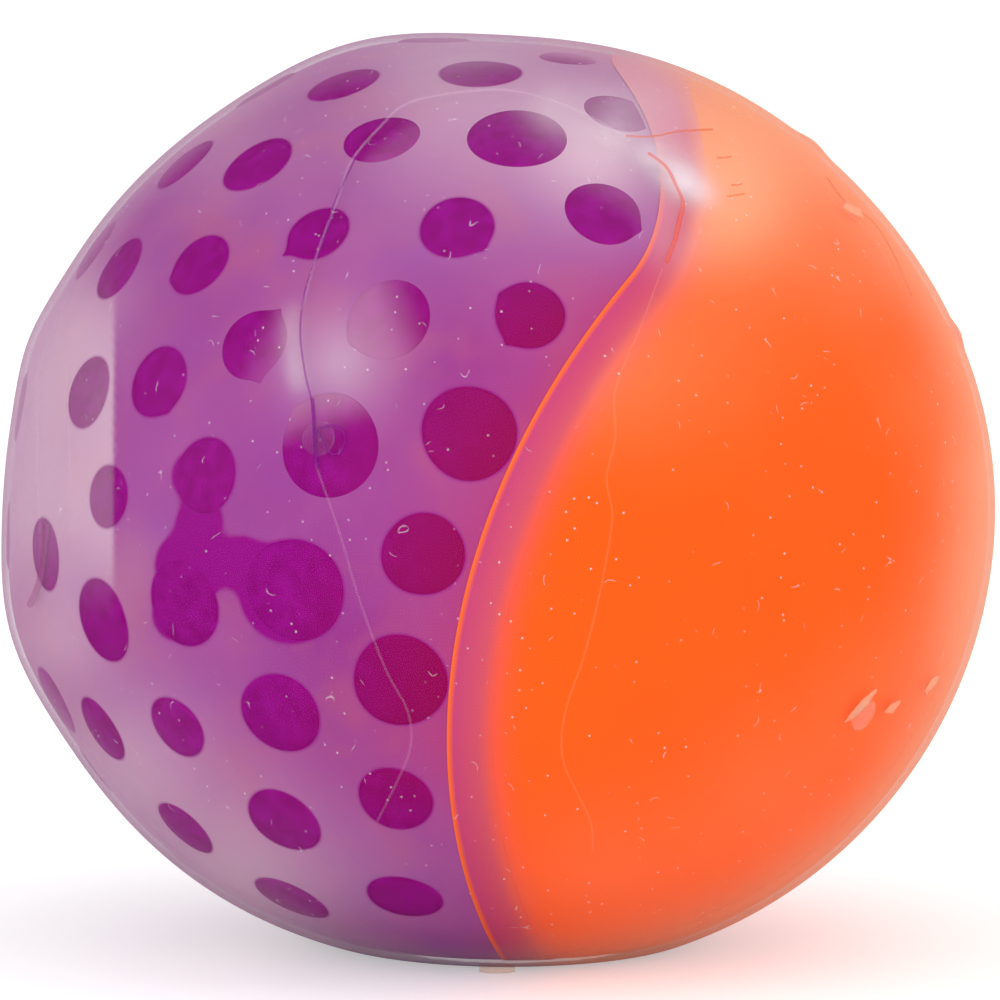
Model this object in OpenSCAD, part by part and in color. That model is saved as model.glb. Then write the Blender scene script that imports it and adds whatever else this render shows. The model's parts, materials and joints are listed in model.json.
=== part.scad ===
// Two-chamber squeeze ball: a clear soft skin, a curved divider, gel beads on one side
// and smooth orange gel on the other. Millimetres, +Z up, origin at the centre of the flat foot.
// Azimuth 0 faces -Y (the front) and grows towards -X (the bead side); latitude 0 is the widest level.

/* [Skin] */
// Width of the ball at its widest level
ball_w = 70; // [58:1:90]
// How much lower the crown lies than a true ball's, because the soft ball sags
crown_sag = 2.2; // [1:0.1:4]
// Diameter of the flat foot that the ball stands on
foot_d = 24; // [16:0.5:28]
// Thickness of the clear skin
skin_t = 1.2; // [0.8:0.1:2]

/* [Divider] */
// Thickness of the divider between the two chambers
divider_t = 3.2; // [2:0.1:4]
// Leftmost reach of the divider's bead-side face, from the axis
waist_x = -3.7; // [-5:0.1:-2]
// Level of that reach, from the widest level
waist_z = -12; // [-14:0.5:-10]
// Radius of the divider's long lower bend
bend_r = 46; // [42:1:52]
// Radius of the divider's upper bulge into the gel side
bulge_r = 8; // [6:0.5:10]
// Distance of the bulge's centre from the axis
bulge_x = 3.2; // [2:0.1:5]

/* [Filling] */
// Diameter of a gel bead
bead_d = 7; // [6.4:0.1:7.6]
// Spacing of the beads in the core
core_pitch = 9.4; // [8.8:0.1:11]
// How far a bead squashes against the divider
divider_squash = 0.8; // [0.4:0.1:1.4]
// Running gap between a bead and what lies beside it
bead_gap = 0.25; // [0.15:0.05:0.4]
// Gap between the fillings or the divider and the skin
bond_gap = 0.1; // [0.05:0.05:0.3]

/* [Fill seals] */
// Diameter of the sealed fill holes
seal_d = 2.4; // [1.6:0.1:4]
// Gap around a seal in its hole
seal_gap = 0.1; // [0.05:0.05:0.2]
// Place of the bead side's seal: azimuth and latitude
bead_seal_spot = [22, 15]; // [-90:1:90]
// Place of the gel side's seal: azimuth and latitude
gel_seal_spot = [-51, -20]; // [-90:1:90]

/* [Hidden] */
$fn = 96;

// Places where the near-side beads press on the skin, row by row from the crown down, read from the
// front with the eye raised by view_tilt: across from the axis, up from the widest level, and the
// diameter of the flattened contact. They were read on a ball of the half width seen_half_w.
view_tilt = 8;
seen_half_w = 35;
bead_rows = [
    [[-4.6, 32.6, 5], [4.8, 31.7, 4], [-1.4, 30.5, 5.6], [-11, 29.5, 5], [-16.4, 29, 4.6]],
    [[8.3, 27.5, 4.8], [1.2, 25.7, 6.6], [-8.3, 25.6, 5.2], [-17, 23.9, 5.2], [-22.2, 24, 4.6]],
    [[7.9, 20, 4.8], [-3, 19.4, 4.9], [-12.7, 19, 4.2], [-21.1, 16.9, 4.6], [-26.9, 16.7, 4.6],
        [-28.7, 18.1, 4.4]],
    [[3.2, 12.7, 4.2], [-7.8, 13, 5.6], [-17.3, 11.3, 4.8], [-24.1, 8.7, 4.8], [-29.2, 8, 4.8]],
    [[-1.8, 4.9, 6.1], [-12, 4.2, 6.8], [-20.8, 2.1, 4.8], [-27.8, 0.6, 4]],
    [[-5, -3.6, 5.3], [-14.5, -6, 6.7], [-22.4, -7, 5.6], [-28.2, -8.2, 5.4], [-32.4, -3.5, 4.6]],
    [[-7, -12.4, 6.2], [-15.5, -14.7, 5.6], [-22.8, -15.7, 4.4], [-28.2, -15.9, 4.6],
        [-31.4, -13.8, 4.6]],
    [[-7, -20.7, 4.9], [-15.2, -22.2, 5.3], [-22.2, -22.8, 4.6]],
    [[-6.7, -27.5, 5], [-14.7, -27.7, 5.2]],
];
// Azimuth and contact diameter of the one bead of each row that sits at the side
side_azimuth = 90;
side_contact_d = 4.6;

// The ball's section is one round side, whose centre lies off the axis by the crown's sag,
// between a small flat at the crown and the flat foot
half_w = ball_w / 2;
side_r = half_w - crown_sag;
foot_depth = sqrt(side_r ^ 2 - (foot_d / 2 - crown_sag) ^ 2);
beyond = 2 * ball_w;

// Curves of the divider's bead-side face
bend_x = waist_x + bend_r;
bulge_z = waist_z + sqrt((bend_r + bulge_r) ^ 2 - (bend_x - bulge_x) ^ 2);
join_dir = [bend_x - bulge_x, waist_z - bulge_z] / (bend_r + bulge_r);

bead_r = bead_d / 2;
// Widest share of a bead that can be pressed flat
flat_share = 0.96;
room_inset = skin_t + bead_gap;

// Distance from the ball's centre to its section, a given inset inside the outer face
function side_reach(lat, r) = crown_sag * cos(lat) + sqrt(r ^ 2 - (crown_sag * sin(lat)) ^ 2);
function reach(lat, inset) =
    lat < 0 ? min(side_reach(lat, side_r - inset), (foot_depth - inset) / sin(-lat))
    : side_reach(lat, side_r - inset);

// A spot's direction from the ball's centre, and its point and outward normal on the section
function level_dir(spot) = [-sin(spot[0]), -cos(spot[0]), 0];
function spot_dir(spot) = level_dir(spot) * cos(spot[1]) + [0, 0, sin(spot[1])];
function spot_point(spot, inset) = spot_dir(spot) * reach(spot[1], inset);
function unit(v) = v / norm(v);
function spot_normal(spot) = unit(spot_point(spot, 0) - level_dir(spot) * crown_sag);

// The spot on the ball behind a place that is read from the front, taking the ball as an ellipsoid
squat = side_r / half_w;
toward_eye = [0, -cos(view_tilt), sin(view_tilt) / squat];
function seen_base(seen) =
    [seen[0], seen[1] * sin(view_tilt), seen[1] * cos(view_tilt) / squat] / seen_half_w;
function eye_depth(base) =
    let (along_eye = base * toward_eye, eye_sq = toward_eye * toward_eye)
    (sqrt(max(0, along_eye ^ 2 - eye_sq * (base * base - 1))) - along_eye) / eye_sq;
function seen_spot(seen) =
    let (base = seen_base(seen), p = base + eye_depth(base) * toward_eye)
    [atan2(-p.x, -p.y), atan2(p.z * squat, norm([p.x, p.y])), seen[2]];

// The way from a point of the bead side to the nearest stretch of the divider's face, and the distance.
// The long bend curves away from the beads, and the bulge curves round them.
function in_bulge(p) =
    let (q = [p.x - bulge_x, p.z - bulge_z]) join_dir.x * q.y - join_dir.y * q.x > 0;
function wall_centre(p) = in_bulge(p) ? [bulge_x, 0, bulge_z] : [bend_x, 0, waist_z];
function wall_way(p) =
    let (c = wall_centre(p), q = [p.x - c.x, 0, p.z - c.z]) in_bulge(p) ? unit(q) : -unit(q);
function wall_distance(p) =
    let (c = wall_centre(p), q = norm([p.x - c.x, p.z - c.z])) in_bulge(p) ? bulge_r - q : q - bend_r;
function past_bulge(p) = p.z > bulge_z && p.x < bulge_x;

// A bead's centre held back from the divider, with room for its flat's rim where the wall curves round
squash_r_sq = bead_r ^ 2 - (bead_r - divider_squash) ^ 2;
bulge_rim = bulge_r - sqrt(bulge_r ^ 2 - squash_r_sq);
function wall_gap(p) = bead_gap + (in_bulge(p) ? bulge_rim : 0);
function short_by(p) =
    past_bulge(p) ? 0 : max(0, wall_gap(p) + bead_r - divider_squash - wall_distance(p));
function held_back(p) = p - wall_way(p) * short_by(p);
function flat_r(spot) = min(spot[2] / 2, flat_share * bead_r);
function flat_inset(spot) = room_inset + flat_r(spot) ^ 2 / (2 * (side_r - room_inset));
function bead_centre(spot) =
    held_back(
        spot_point(spot, flat_inset(spot)) - spot_normal(spot) * sqrt(bead_r ^ 2 - flat_r(spot) ^ 2)
    );

function total(list) = list * [for (v = list) 1];
function mean_z(points) = total([for (p = points) p.z]) / len(points);
function clear_of(p, points, space) = len([for (q = points) if (norm(p - q) < space) 1]) == 0;
function far_side(spot) = [180 - spot[0], spot[1], spot[2]];
function latitude(p) = atan2(p.z, norm([p.x, p.y]));
function in_core(p) =
    norm(p) + bead_r < reach(latitude(p), room_inset) - bead_gap
    && p.x < bulge_x
    && (past_bulge(p) || wall_distance(p) > bead_r + bead_gap);

// Near-side beads, their mirror images on the far side, and a staggered core that clears both
spot_rows = [for (row = bead_rows) [for (seen = row) seen_spot(seen)]];
near_spots = [for (row = spot_rows) each row];
row_centres = [for (row = spot_rows) [for (spot = row) bead_centre(spot)]];
near_centres = [for (row = row_centres) each row];
bead_space = bead_d + bead_gap;
mirror_spots = [
    for (row = spot_rows) [
        for (spot = row)
            if (clear_of(bead_centre(far_side(spot)), near_centres, bead_space)) far_side(spot)
    ]
];
mirror_centres = [for (row = mirror_spots) each [for (spot = row) bead_centre(spot)]];
far_spots = [
    for (r = [0 : len(spot_rows) - 1])
        let (
            row_lat = total([for (spot = spot_rows[r]) spot[1]]) / len(spot_rows[r]),
            side_spot = [side_azimuth, row_lat, side_contact_d]
        )
        clear_of(bead_centre(side_spot), concat(near_centres, mirror_centres), bead_space)
            ? concat(mirror_spots[r], [side_spot])
            : mirror_spots[r]
];
far_centres = [for (row = far_spots) [for (spot = row) bead_centre(spot)]];
layer_centres = concat(near_centres, [for (row = far_centres) each row]);
core_count = ceil(half_w / core_pitch);
core_rows = [
    for (r = [0 : len(row_centres) - 1]) [
        for (ix = [-core_count : core_count], iy = [-core_count : core_count])
            let (
                stagger = r % 2 == 0 ? 0 : 0.5,
                p = [(ix + stagger) * core_pitch, (iy + stagger) * core_pitch, mean_z(row_centres[r])]
            )
            if (in_core(p) && clear_of(p, layer_centres, bead_space)) p
    ]
];
all_centres = concat(layer_centres, [for (row = core_rows) each row]);
hidden_rows = [for (r = [0 : len(bead_rows) - 1]) if (len(far_spots[r]) + len(core_rows[r]) > 0) r];

function bead_name(i) = str("bead_", i < 9 ? "0" : "", i + 1);
function hidden_name(r) = str("far_beads_", r + 1);

// Half of the ball's section, a given inset inside the outer face
module ball_section(inset) {
    r = side_r - inset;
    intersection() {
        union() {
            intersection() {
                translate([crown_sag, 0]) circle(r = r);
                translate([crown_sag, -beyond / 2]) square(beyond);
            }
            translate([0, -r]) square([crown_sag, 2 * r]);
        }
        translate([0, inset - foot_depth]) square(beyond);
    }
}

module ball_body(inset) {
    translate([0, 0, foot_depth])
        rotate_extrude()
            ball_section(inset);
}

// Everything on the bead side of the divider, a given distance past its bead-side face
module bead_side(past) {
    toward_bend = [bulge_x, bulge_z] + beyond * join_dir;
    translate([0, beyond / 2, foot_depth])
        rotate([90, 0, 0])
            linear_extrude(beyond) {
                difference() {
                    polygon([
                        [-beyond, -beyond], [bend_x, -beyond], [bend_x, waist_z],
                        [bulge_x, bulge_z], [-beyond, bulge_z],
                    ]);
                    translate([bend_x, waist_z]) circle(r = bend_r - past);
                }
                intersection() {
                    translate([bulge_x, bulge_z]) circle(r = bulge_r + past);
                    polygon([
                        [bulge_x, bulge_z], toward_bend, [beyond, beyond], [bulge_x, beyond],
                    ]);
                }
                translate([-beyond, bulge_z]) square([beyond + bulge_x, beyond]);
            }
}

module bead_room(gap) {
    intersection() {
        ball_body(skin_t + gap);
        bead_side(-gap);
    }
}

// Turns and moves what is drawn along +Z to point along a way from a point of the ball
module along(p, way) {
    translate(p + [0, 0, foot_depth])
        rotate([0, acos(way.z / norm(way)), atan2(way.y, way.x)])
            children();
}

module ball_at(p, r) {
    along(p, p) sphere(r = r);
}

// What lies past the plane through p that faces along a way
module past_plane(p, way) {
    along(p, way)
        translate([-bead_d, -bead_d, 0])
            cube(2 * bead_d);
}

// One bead, flat where it meets the divider and any crowding bead
module core_bead(p) {
    room = wall_distance(p) - wall_gap(p);
    difference() {
        ball_at(p, bead_r);
        if (!past_bulge(p) && room < bead_r)
            past_plane(p + wall_way(p) * room, wall_way(p));
        for (q = all_centres)
            if (q != p && norm(q - p) < bead_space)
                past_plane((p + q) / 2 - unit(q - p) * bead_gap / 2, q - p);
    }
}

// A bead that also presses flat against the skin
module skin_bead(spot) {
    difference() {
        core_bead(bead_centre(spot));
        past_plane(spot_point(spot, flat_inset(spot)), spot_normal(spot));
    }
}

// A round bar outwards along the normal at a spot
module spot_bar(spot, d) {
    along(spot_point(spot, 2 * skin_t), spot_normal(spot))
        cylinder(d = d, h = 4 * skin_t);
}

module skin() {
    color([0.95, 0.88, 0.93, 0.35])
        difference() {
            ball_body(0);
            ball_body(skin_t);
            spot_bar(bead_seal_spot, seal_d + 2 * seal_gap);
            spot_bar(gel_seal_spot, seal_d + 2 * seal_gap);
        }
}

module divider() {
    color([0.87, 0.36, 0.42, 0.6])
        intersection() {
            ball_body(skin_t + bond_gap);
            difference() {
                bead_side(divider_t);
                bead_side(0);
            }
        }
}

module orange_gel() {
    color([1, 0.4, 0.13])
        difference() {
            ball_body(skin_t + bond_gap);
            bead_side(divider_t + bond_gap);
        }
}

module bead_liquid() {
    color([0.65, 0.28, 0.63, 0.7])
        difference() {
            bead_room(bond_gap);
            for (p = all_centres)
                ball_at(p, bead_r + bead_gap);
        }
}

module fill_seal(spot) {
    color([0.93, 0.85, 0.9, 0.5])
        intersection() {
            difference() {
                ball_body(seal_gap);
                ball_body(skin_t);
            }
            spot_bar(spot, seal_d);
        }
}

module bead_seal() {
    fill_seal(bead_seal_spot);
}

module gel_seal() {
    fill_seal(gel_seal_spot);
}

module near_bead(i) {
    color([0.55, 0.06, 0.5])
        skin_bead(near_spots[i]);
}

module hidden_beads(r) {
    color([0.6, 0.12, 0.55]) {
        for (spot = far_spots[r])
            skin_bead(spot);
        for (p = core_rows[r])
            core_bead(p);
    }
}

skin();
divider();
orange_gel();
bead_liquid();
bead_seal();
gel_seal();
for (i = [0 : len(near_spots) - 1])
    near_bead(i);
for (r = hidden_rows)
    hidden_beads(r);
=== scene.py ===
import json
import math

import bmesh
import bpy
import numpy as np
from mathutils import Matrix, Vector


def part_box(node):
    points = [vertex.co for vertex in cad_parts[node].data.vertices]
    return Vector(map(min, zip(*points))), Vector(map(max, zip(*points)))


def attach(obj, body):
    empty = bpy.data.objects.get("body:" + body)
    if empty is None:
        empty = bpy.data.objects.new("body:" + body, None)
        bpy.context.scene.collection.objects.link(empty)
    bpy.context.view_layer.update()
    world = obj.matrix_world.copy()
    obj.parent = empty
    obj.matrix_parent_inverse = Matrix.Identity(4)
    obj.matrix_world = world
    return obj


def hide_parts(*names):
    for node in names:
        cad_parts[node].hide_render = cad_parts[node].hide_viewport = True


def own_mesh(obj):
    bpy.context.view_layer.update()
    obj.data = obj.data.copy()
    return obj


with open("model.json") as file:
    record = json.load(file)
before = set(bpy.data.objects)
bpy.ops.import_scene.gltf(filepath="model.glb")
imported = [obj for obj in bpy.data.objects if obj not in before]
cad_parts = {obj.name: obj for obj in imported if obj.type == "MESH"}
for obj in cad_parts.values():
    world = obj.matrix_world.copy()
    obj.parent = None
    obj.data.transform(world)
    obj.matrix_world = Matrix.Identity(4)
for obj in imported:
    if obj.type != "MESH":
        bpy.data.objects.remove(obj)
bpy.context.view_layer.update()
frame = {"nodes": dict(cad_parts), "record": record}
scene = bpy.context.scene
scene.view_settings.view_transform = "Standard"
mm = 0.001

# The ball's form, shared by every layer: a round side, a low crown and a flat foot
skinLow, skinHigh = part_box("skin")
ballForm = {
    "halfWidth": (skinHigh.x - skinLow.x) / 2,
    "crownSag": 2.2 * mm,          # how much lower the crown lies than a true ball's
    "footRound": 0.6 * mm,         # softness of the foot's edge
    "viewTilt": math.radians(8),   # the front view looks down by this
    "lumps": [                     # soft lumps: across, up as seen from the front, height, spread, all mm
        (-34, -9, 0.8, 6.5),
        (-10, 32, 0.8, 8),
        (-33, 11.4, 0.4, 4),
        (26, 22, -0.58, 16),
        (-9, -32, -0.3, 10),
        (22, 25.4, 0.3, 1.3),      # moulding nubs on the gel side's outline
        (32.3, 12.1, 0.32, 1.2),
    ],
}
sideRadius = ballForm["halfWidth"] - ballForm["crownSag"]
ballCentre = np.array([0, 0, skinHigh.z - sideRadius])

# How deep each layer seems to lie under the skin's face. The clear skin bends light, so what touches
# its inner face seems to lie just under the outer one.
layerDepth = {"bead": 0.36 * mm, "divider": 0.46 * mm, "gel": 0.5 * mm, "liquid": 0.52 * mm}


def unit(rows):
    return rows / np.linalg.norm(rows, axis=-1, keepdims=True)


def seenDirs(places):
    # Directions from the ball's centre to places seen from the front, given in mm across and up
    places = np.asarray(places, float) * mm
    tilt = ballForm["viewTilt"]
    squat = sideRadius / ballForm["halfWidth"]
    shrink = np.array([1, 1, squat]) * ballForm["halfWidth"]
    base = np.stack(
        [places[:, 0], places[:, 1] * math.sin(tilt), places[:, 1] * math.cos(tilt)], axis=1
    ) / shrink
    eye = np.array([0, -math.cos(tilt), math.sin(tilt)]) / shrink
    alongEye = base @ eye
    eyeSquare = eye @ eye
    inner = alongEye**2 - eyeSquare * ((base**2).sum(1) - 1)
    depth = (np.sqrt(np.maximum(inner, 0)) - alongEye) / eyeSquare
    return unit((base + depth[:, None] * eye) * shrink)


def seenPlaces(points):
    # Where points lie in the front view, in mm: across, up and toward the viewer
    tilt = ballForm["viewTilt"]
    rel = (points - ballCentre) / mm
    up = rel[:, 1] * math.sin(tilt) + rel[:, 2] * math.cos(tilt)
    toward = -rel[:, 1] * math.cos(tilt) + rel[:, 2] * math.sin(tilt)
    return rel[:, 0], up, toward


lumpDirs = seenDirs([lump[:2] for lump in ballForm["lumps"]])


def reach(dirs):
    up = dirs[:, 2]
    out = np.hypot(dirs[:, 0], dirs[:, 1])
    sag = ballForm["crownSag"]
    side = sag * out + np.sqrt(sideRadius**2 - (sag * up) ** 2)
    for lumpDir, (_, _, height, spread) in zip(lumpDirs, ballForm["lumps"]):
        apart = np.arccos(np.clip(dirs @ lumpDir, -1, 1)) * ballForm["halfWidth"] / mm
        side = side + height * mm * np.exp(-((apart / spread) ** 2))
    foot = ballCentre[2] / np.maximum(-up, 1e-4)
    edge = np.clip(1 - np.abs(side - foot) / ballForm["footRound"], 0, 1)
    return np.minimum(side, foot) - edge**2 * ballForm["footRound"] / 4


def formPoints(dirs, depth):
    return ballCentre + dirs * (reach(dirs) - depth)[:, None]


def depthOf(points):
    rel = points - ballCentre
    far = np.linalg.norm(rel, axis=1)
    return reach(rel / np.maximum(far, 1e-9)[:, None]) - far


# The divider's S, as in the frame: a long bend and a bulge into the gel side, level with the ball's centre
dividerWall = {
    "thickness": 3.2 * mm,
    "bendCentre": np.array([42.3, -12]) * mm,
    "bendRadius": 46 * mm,
    "bulgeRadius": 8 * mm,
    "bulgeAcross": 3.2 * mm,
}
bendCentre = dividerWall["bendCentre"]
arcsApart = dividerWall["bendRadius"] + dividerWall["bulgeRadius"]
bulgeRise = math.sqrt(arcsApart**2 - (bendCentre[0] - dividerWall["bulgeAcross"]) ** 2)
bulgeCentre = np.array([dividerWall["bulgeAcross"], bendCentre[1] + bulgeRise])
joinDir = unit(bendCentre - bulgeCentre)


def wallDistance(points):
    # Distance to the divider's bead-side face, positive on the bead side
    flat = (points - ballCentre)[:, [0, 2]]
    fromBulge = flat - bulgeCentre
    inBulge = joinDir[0] * fromBulge[:, 1] - joinDir[1] * fromBulge[:, 0] > 0
    bulge = dividerWall["bulgeRadius"] - np.linalg.norm(fromBulge, axis=1)
    bend = np.linalg.norm(flat - bendCentre, axis=1) - dividerWall["bendRadius"]
    past = (fromBulge[:, 1] > 0) & (fromBulge[:, 0] < 0)
    beyond = dividerWall["bulgeRadius"] - fromBulge[:, 1] - fromBulge[:, 0]
    return np.where(past, beyond, np.where(inBulge, bulge, bend))


# Small helpers
def linear(code):
    parts = [int(code[i:i + 2], 16) / 255 for i in (0, 2, 4)]
    return (*[p / 12.92 if p <= 0.04045 else ((p + 0.055) / 1.055) ** 2.4 for p in parts], 1)


def addNode(tree, kind, settings=None, links=None):
    node = tree.nodes.new(kind)
    for key, value in (settings or {}).items():
        if isinstance(key, str) and hasattr(node, key):
            setattr(node, key, value)
        elif isinstance(value, bpy.types.NodeSocket):
            tree.links.new(value, node.inputs[key])
        else:
            node.inputs[key].default_value = value
    for key, source in (links or {}).items():
        tree.links.new(source, node.inputs[key])
    return node


def painted(tree, name):
    # A value painted on the mesh's points
    return addNode(tree, "ShaderNodeAttribute", {"attribute_name": name}).outputs["Fac"]


def noise(tree, size, detail, distortion=0):
    # Soft noise fixed to the object, with lumps of about the given size
    place = addNode(tree, "ShaderNodeTexCoord").outputs["Object"]
    settings = {"Vector": place, "Scale": 1 / size, "Detail": detail, "Distortion": distortion}
    return addNode(tree, "ShaderNodeTexNoise", settings).outputs["Fac"]


def cells(tree, spacing):
    # Distance from the nearest of scattered points, in shares of their spacing
    place = addNode(tree, "ShaderNodeTexCoord").outputs["Object"]
    return addNode(tree, "ShaderNodeTexVoronoi", {"Vector": place, "Scale": 1 / spacing}).outputs["Distance"]


def remap(tree, value, fromLow, fromHigh, toLow=0, toHigh=1, soft=False):
    settings = {
        "Value": value, "From Min": fromLow, "From Max": fromHigh, "To Min": toLow, "To Max": toHigh,
        "interpolation_type": "SMOOTHSTEP" if soft else "LINEAR",
    }
    return addNode(tree, "ShaderNodeMapRange", settings).outputs["Result"]


def combine(tree, operation, first, second=0, clamp=False):
    settings = {"operation": operation, "use_clamp": clamp, 0: first, 1: second}
    return addNode(tree, "ShaderNodeMath", settings).outputs["Value"]


def dyeBetween(tree, amount, first, second):
    settings = {"data_type": "RGBA", 0: amount, 6: linear(first), 7: linear(second)}
    return addNode(tree, "ShaderNodeMix", settings).outputs[2]


def blendShaders(tree, amount, under, over):
    return addNode(tree, "ShaderNodeMixShader", {0: amount, 1: under, 2: over}).outputs["Shader"]


def newMaterial(name):
    material = bpy.data.materials.new(name)
    material.use_nodes = True
    material.node_tree.nodes.clear()
    return material, material.node_tree


def finishMaterial(tree, shader):
    addNode(tree, "ShaderNodeOutputMaterial", {}, {"Surface": shader})


def finishFilling(tree, colour, layers, roughness):
    # A matt filling behind the skin: dyes laid one over another, by how much of each shows
    for amount, code in layers:
        settings = {"data_type": "RGBA", 0: amount, 6: colour, 7: linear(code)}
        colour = addNode(tree, "ShaderNodeMix", settings).outputs[2]
    surface = addNode(
        tree, "ShaderNodeBsdfPrincipled",
        {"Base Color": colour, "Roughness": roughness, "Specular IOR Level": 0},
    )
    finishMaterial(tree, surface.outputs["BSDF"])


def meshObject(name, points, faces, material):
    mesh = bpy.data.meshes.new(name)
    mesh.from_pydata(np.asarray(points).tolist(), [], faces)
    bm = bmesh.new()
    bm.from_mesh(mesh)
    bmesh.ops.recalc_face_normals(bm, faces=bm.faces[:])
    bm.to_mesh(mesh)
    bm.free()
    mesh.polygons.foreach_set("use_smooth", np.ones(len(mesh.polygons), bool))
    mesh.materials.append(material)
    mesh.update()
    piece = bpy.data.objects.new(name, mesh)
    scene.collection.objects.link(piece)
    return piece


def ringFaces(first, ringCount, around):
    # Faces of a closed form: a point, rings of points, and a last point
    last = first + 1 + ringCount * around
    faces = []
    for k in range(around):
        n = (k + 1) % around
        faces.append([first, first + 1 + k, first + 1 + n])
        for r in range(ringCount - 1):
            a = first + 1 + r * around
            faces.append([a + k, a + around + k, a + around + n, a + n])
        a = last - around
        faces.append([a + k, last, a + n])
    return faces


def setAttribute(piece, name, values):
    layer = piece.data.attributes.new(name, "FLOAT", "POINT")
    layer.data.foreach_set("value", np.asarray(values, np.float32))


def sphereGrid(level):
    bm = bmesh.new()
    bmesh.ops.create_icosphere(bm, subdivisions=level, radius=1)
    dirs = np.array([v.co for v in bm.verts])
    faces = [[v.index for v in f.verts] for f in bm.faces]
    bm.free()
    return unit(dirs), faces


def refineGrid(dirs, faces, paint, limit, rounds):
    # Splits the grid where a painted value changes fast, so that its edges come out crisp
    for _ in range(rounds):
        values = paint(dirs)
        bm = bmesh.new()
        verts = [bm.verts.new(d) for d in dirs]
        bm.verts.index_update()
        for face in faces:
            bm.faces.new([verts[i] for i in face])
        steep = [e for e in bm.edges if abs(values[e.verts[0].index] - values[e.verts[1].index]) > limit]
        bmesh.ops.subdivide_edges(bm, edges=steep, cuts=1, use_grid_fill=True)
        bmesh.ops.triangulate(bm, faces=bm.faces[:])
        bm.verts.index_update()
        dirs = unit(np.array([v.co for v in bm.verts]))
        faces = [[v.index for v in f.verts] for f in bm.faces]
        bm.free()
    return dirs, faces


def softStep(low, high, values):
    share = np.clip((values - low) / (high - low), 0, 1)
    return share * share * (3 - 2 * share)


def facing(toward):
    # 1 on the side that the front view sees, fading out behind its outline; toward in mm
    return softStep(-16, -1, toward)


def spread(points, spots):
    # Sum of soft round spots painted on the front: across, up, radius in mm, amount
    across, up, toward = seenPlaces(points)
    total = np.zeros(len(points))
    for spotAcross, spotUp, radius, amount in spots:
        apart = np.hypot(across - spotAcross, up - spotUp) / radius
        total += amount * np.exp(-(apart**2))
    return total * facing(toward)


def insideLoop(across, up, loop):
    inside = np.zeros(len(across), bool)
    for (x0, y0), (x1, y1) in zip(loop, loop[1:] + loop[:1]):
        crosses = (up > y0) != (up > y1)
        rise = y1 - y0 if y1 != y0 else 1e-9
        inside ^= crosses & (across < x0 + (up - y0) * (x1 - x0) / rise)
    return inside


def overGel(points):
    # 1 on the gel side of the divider, fading to 0 on the bead side
    return softStep(2 * mm, -6 * mm, wallDistance(points))


def rosyHeights(points):
    # The divider throws its rosy light on the beads at the middle heights, where the skin is clear
    up = seenPlaces(points)[1]
    return softStep(-27, -15, up) * softStep(20, 13, up)


gridLevel = 7         # fine enough for a point every 0.7 mm
halvings = 28         # steps of a search along a ray
cornerHalvings = 14   # steps of a search along an edge
gridDirs, gridFaces = sphereGrid(gridLevel)
print("form ready:", len(gridDirs), "points a layer")


# Thermoplastic rubber, moulded clear: satin gloss over a faint milky veil, with dust it has picked up, and
# painted highlights laid into the veil
rubberLook = {
    "cloud": 6 * mm,          # milky clouds in the rubber
    "speckSpacing": 1.1 * mm,
    "speckPatch": 11 * mm,    # dust gathers in patches of this size
    "fibreCurl": 1.1 * mm,
    "fibreLength": 2.6 * mm,
    "satin": 0.7 * mm,        # the mould's satin is finer than the render shows, so it is drawn this coarse
    "specks": (0.05, 0.1),    # drawn a pixel or two wide, coarser than real; shares of the spacing
    "beadEdge": "BE94B2",     # milky outline over the beads and over the gel
    "gelEdge": "F4A480",
}


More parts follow.
